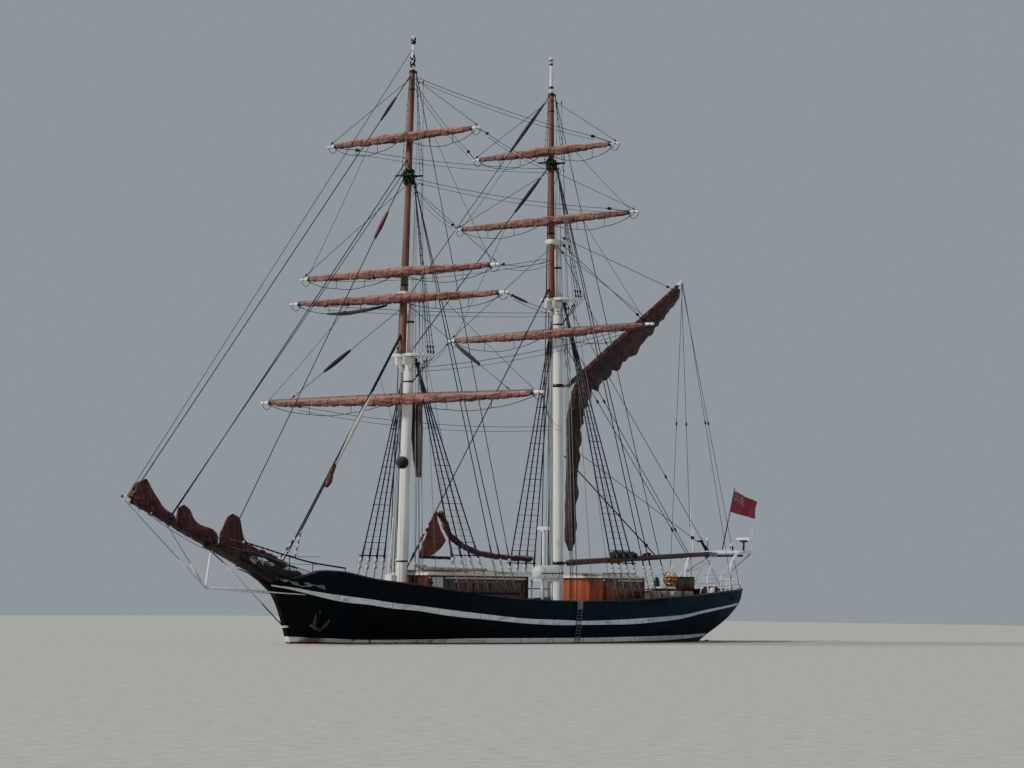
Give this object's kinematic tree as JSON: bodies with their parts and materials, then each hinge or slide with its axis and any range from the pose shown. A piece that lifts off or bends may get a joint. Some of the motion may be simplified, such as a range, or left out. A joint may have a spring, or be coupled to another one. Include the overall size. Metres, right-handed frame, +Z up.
{
  "type": "brig, 1:2 scale model",
  "caption": "Square-rigged sailing ship afloat with furled sails, bracing yards, swinging gaff and boom, steering wheel geared to the rudder, free propeller and hinged deckhouse doors.",
  "frame": {"origin": "middle of the waterline on the centreline", "axes": "+X towards the bow, +Y to port, +Z up"},
  "size_m": [20.9891, 7.8809, 15.0157],
  "materials": {
    "hull_paint": "satin navy paint, weathered",
    "deck_planks": "bare weathered planks",
    "varnished_spar": "varnished",
    "white_paint": "satin white paint",
    "rigging": "tarred and served wire rope",
    "sail_canvas": "matte tan canvas",
    "mahogany": "varnished",
    "bronze": "satin",
    "raft_plastic": "gloss white",
    "rusty_iron": "rusty",
    "bunting": "matte bunting"
  },
  "bodies": {
    "ship": {"hull": "hull_paint", "bulwark": "hull_paint", "deck": "deck_planks", "bowsprit": "varnished_spar", "jib_boom": "varnished_spar", "dolphin_striker": "white_paint", "fore_lower_mast": "white_paint", "fore_top": "white_paint", "fore_topmast": "varnished_spar", "main_lower_mast": "white_paint", "main_top": "white_paint", "main_topmast": "varnished_spar", "fore_shrouds_port": "rigging", "fore_shrouds_starboard": "rigging", "main_shrouds_port": "rigging", "main_shrouds_starboard": "rigging", "forestay": "rigging", "fore_topmast_stay": "rigging", "jib_stay": "rigging", "mainstay": "rigging", "main_topmast_stay": "rigging", "outer_jib": "sail_canvas", "inner_jib": "sail_canvas", "fore_staysail": "sail_canvas", "main_staysail": "sail_canvas", "fore_trysail": "sail_canvas", "fore_house": "mahogany", "fore_house_roof": "white_paint", "aft_house": "mahogany", "aft_house_roof": "white_paint", "wheel_box": "mahogany", "liferaft": "raft_plastic", "deck_radar": "white_paint", "windlass": "rusty_iron", "gantry": "white_paint", "flag": "bunting", "anchor_port": "rusty_iron", "anchor_starboard": "rusty_iron"},
    "fore_course": {"fore_course_yard": "varnished_spar", "fore_course_sail": "sail_canvas"},
    "fore_lower_topsail": {"fore_lower_topsail_yard": "varnished_spar", "fore_lower_topsail_sail": "sail_canvas"},
    "fore_upper_topsail": {"fore_upper_topsail_yard": "varnished_spar", "fore_upper_topsail_sail": "sail_canvas"},
    "fore_topgallant": {"fore_topgallant_yard": "varnished_spar", "fore_topgallant_sail": "sail_canvas"},
    "main_course": {"main_course_yard": "varnished_spar", "main_course_sail": "sail_canvas"},
    "main_topsail": {"main_topsail_yard": "varnished_spar", "main_topsail_sail": "sail_canvas"},
    "main_topgallant": {"main_topgallant_yard": "varnished_spar", "main_topgallant_sail": "sail_canvas"},
    "gaff_rig": {"gaff": "varnished_spar", "spanker_sail": "sail_canvas"},
    "boom": {"spanker_boom": "varnished_spar"},
    "rudder": {"rudder": "hull_paint"},
    "propeller": {"propeller": "bronze"},
    "wheel": {"steering_wheel": "bronze"},
    "fore_door": {"fore_house_door": "white_paint"},
    "aft_door": {"aft_house_door": "mahogany"}
  },
  "joints": [
    {"name": "brace_fore_course", "type": "hinge", "parent": "ship", "child": "fore_course", "pos_m": [3.7005, 0, 5.375], "axis": [0, 0, 1], "range_deg": [-40, 29]},
    {"name": "brace_fore_lower_topsail", "type": "hinge", "parent": "ship", "child": "fore_lower_topsail", "pos_m": [3.819, 0, 7.56], "axis": [0, 0, 1], "range_deg": [-43, 26]},
    {"name": "brace_fore_upper_topsail", "type": "hinge", "parent": "ship", "child": "fore_upper_topsail", "pos_m": [3.7973, 0, 8.145], "axis": [0, 0, 1], "range_deg": [-37, 32]},
    {"name": "brace_fore_topgallant", "type": "hinge", "parent": "ship", "child": "fore_topgallant", "pos_m": [3.6857, 0, 11.15], "axis": [0, 0, 1], "range_deg": [-35, 35]},
    {"name": "brace_main_course", "type": "hinge", "parent": "ship", "child": "main_course", "pos_m": [-1.3237, 0, 7.165], "axis": [0, 0, 1], "range_deg": [-29, 40]},
    {"name": "brace_main_topsail", "type": "hinge", "parent": "ship", "child": "main_topsail", "pos_m": [-1.0941, 0, 9.765], "axis": [0, 0, 1], "range_deg": [-35, 35]},
    {"name": "brace_main_topgallant", "type": "hinge", "parent": "ship", "child": "main_topgallant", "pos_m": [-1.0762, 0, 11.385], "axis": [0, 0, 1], "range_deg": [-35, 35]},
    {"name": "gaff_swing", "type": "hinge", "parent": "ship", "child": "gaff_rig", "pos_m": [-1.655, 0, 5.965], "axis": [0, 0, 1], "range_deg": [-20, 20]},
    {"name": "boom_swing", "type": "hinge", "parent": "ship", "child": "boom", "pos_m": [-1.7256, 0, 1.835], "axis": [0, 0, 1], "range_deg": [-4, 4]},
    {"name": "wheel_turn", "type": "hinge", "parent": "ship", "child": "wheel", "pos_m": [-5.7, 0, 1.485], "axis": [1, 0, 0], "range_deg": [-540, 540]},
    {"name": "rudder_turn", "type": "hinge", "parent": "ship", "child": "rudder", "pos_m": [-6.56, 0, -0.7], "axis": [0, 0, 1], "range_deg": [-35, 35]},
    {"name": "propeller_turn", "type": "hinge", "parent": "ship", "child": "propeller", "pos_m": [-6.18, 0, -0.725], "axis": [1, 0, 0], "continuous": true},
    {"name": "fore_door_swing", "type": "hinge", "parent": "ship", "child": "fore_door", "pos_m": [3.28, 0.566, 1], "axis": [0, 0, -1], "range_deg": [0, 100]},
    {"name": "aft_door_swing", "type": "hinge", "parent": "ship", "child": "aft_door", "pos_m": [-2.56, 0.626, 1], "axis": [0, 0, -1], "range_deg": [0, 100]}
  ],
  "couplings": [
    {"joint": "wheel_turn", "follows": "rudder_turn", "ratio": 15.4}
  ]
}
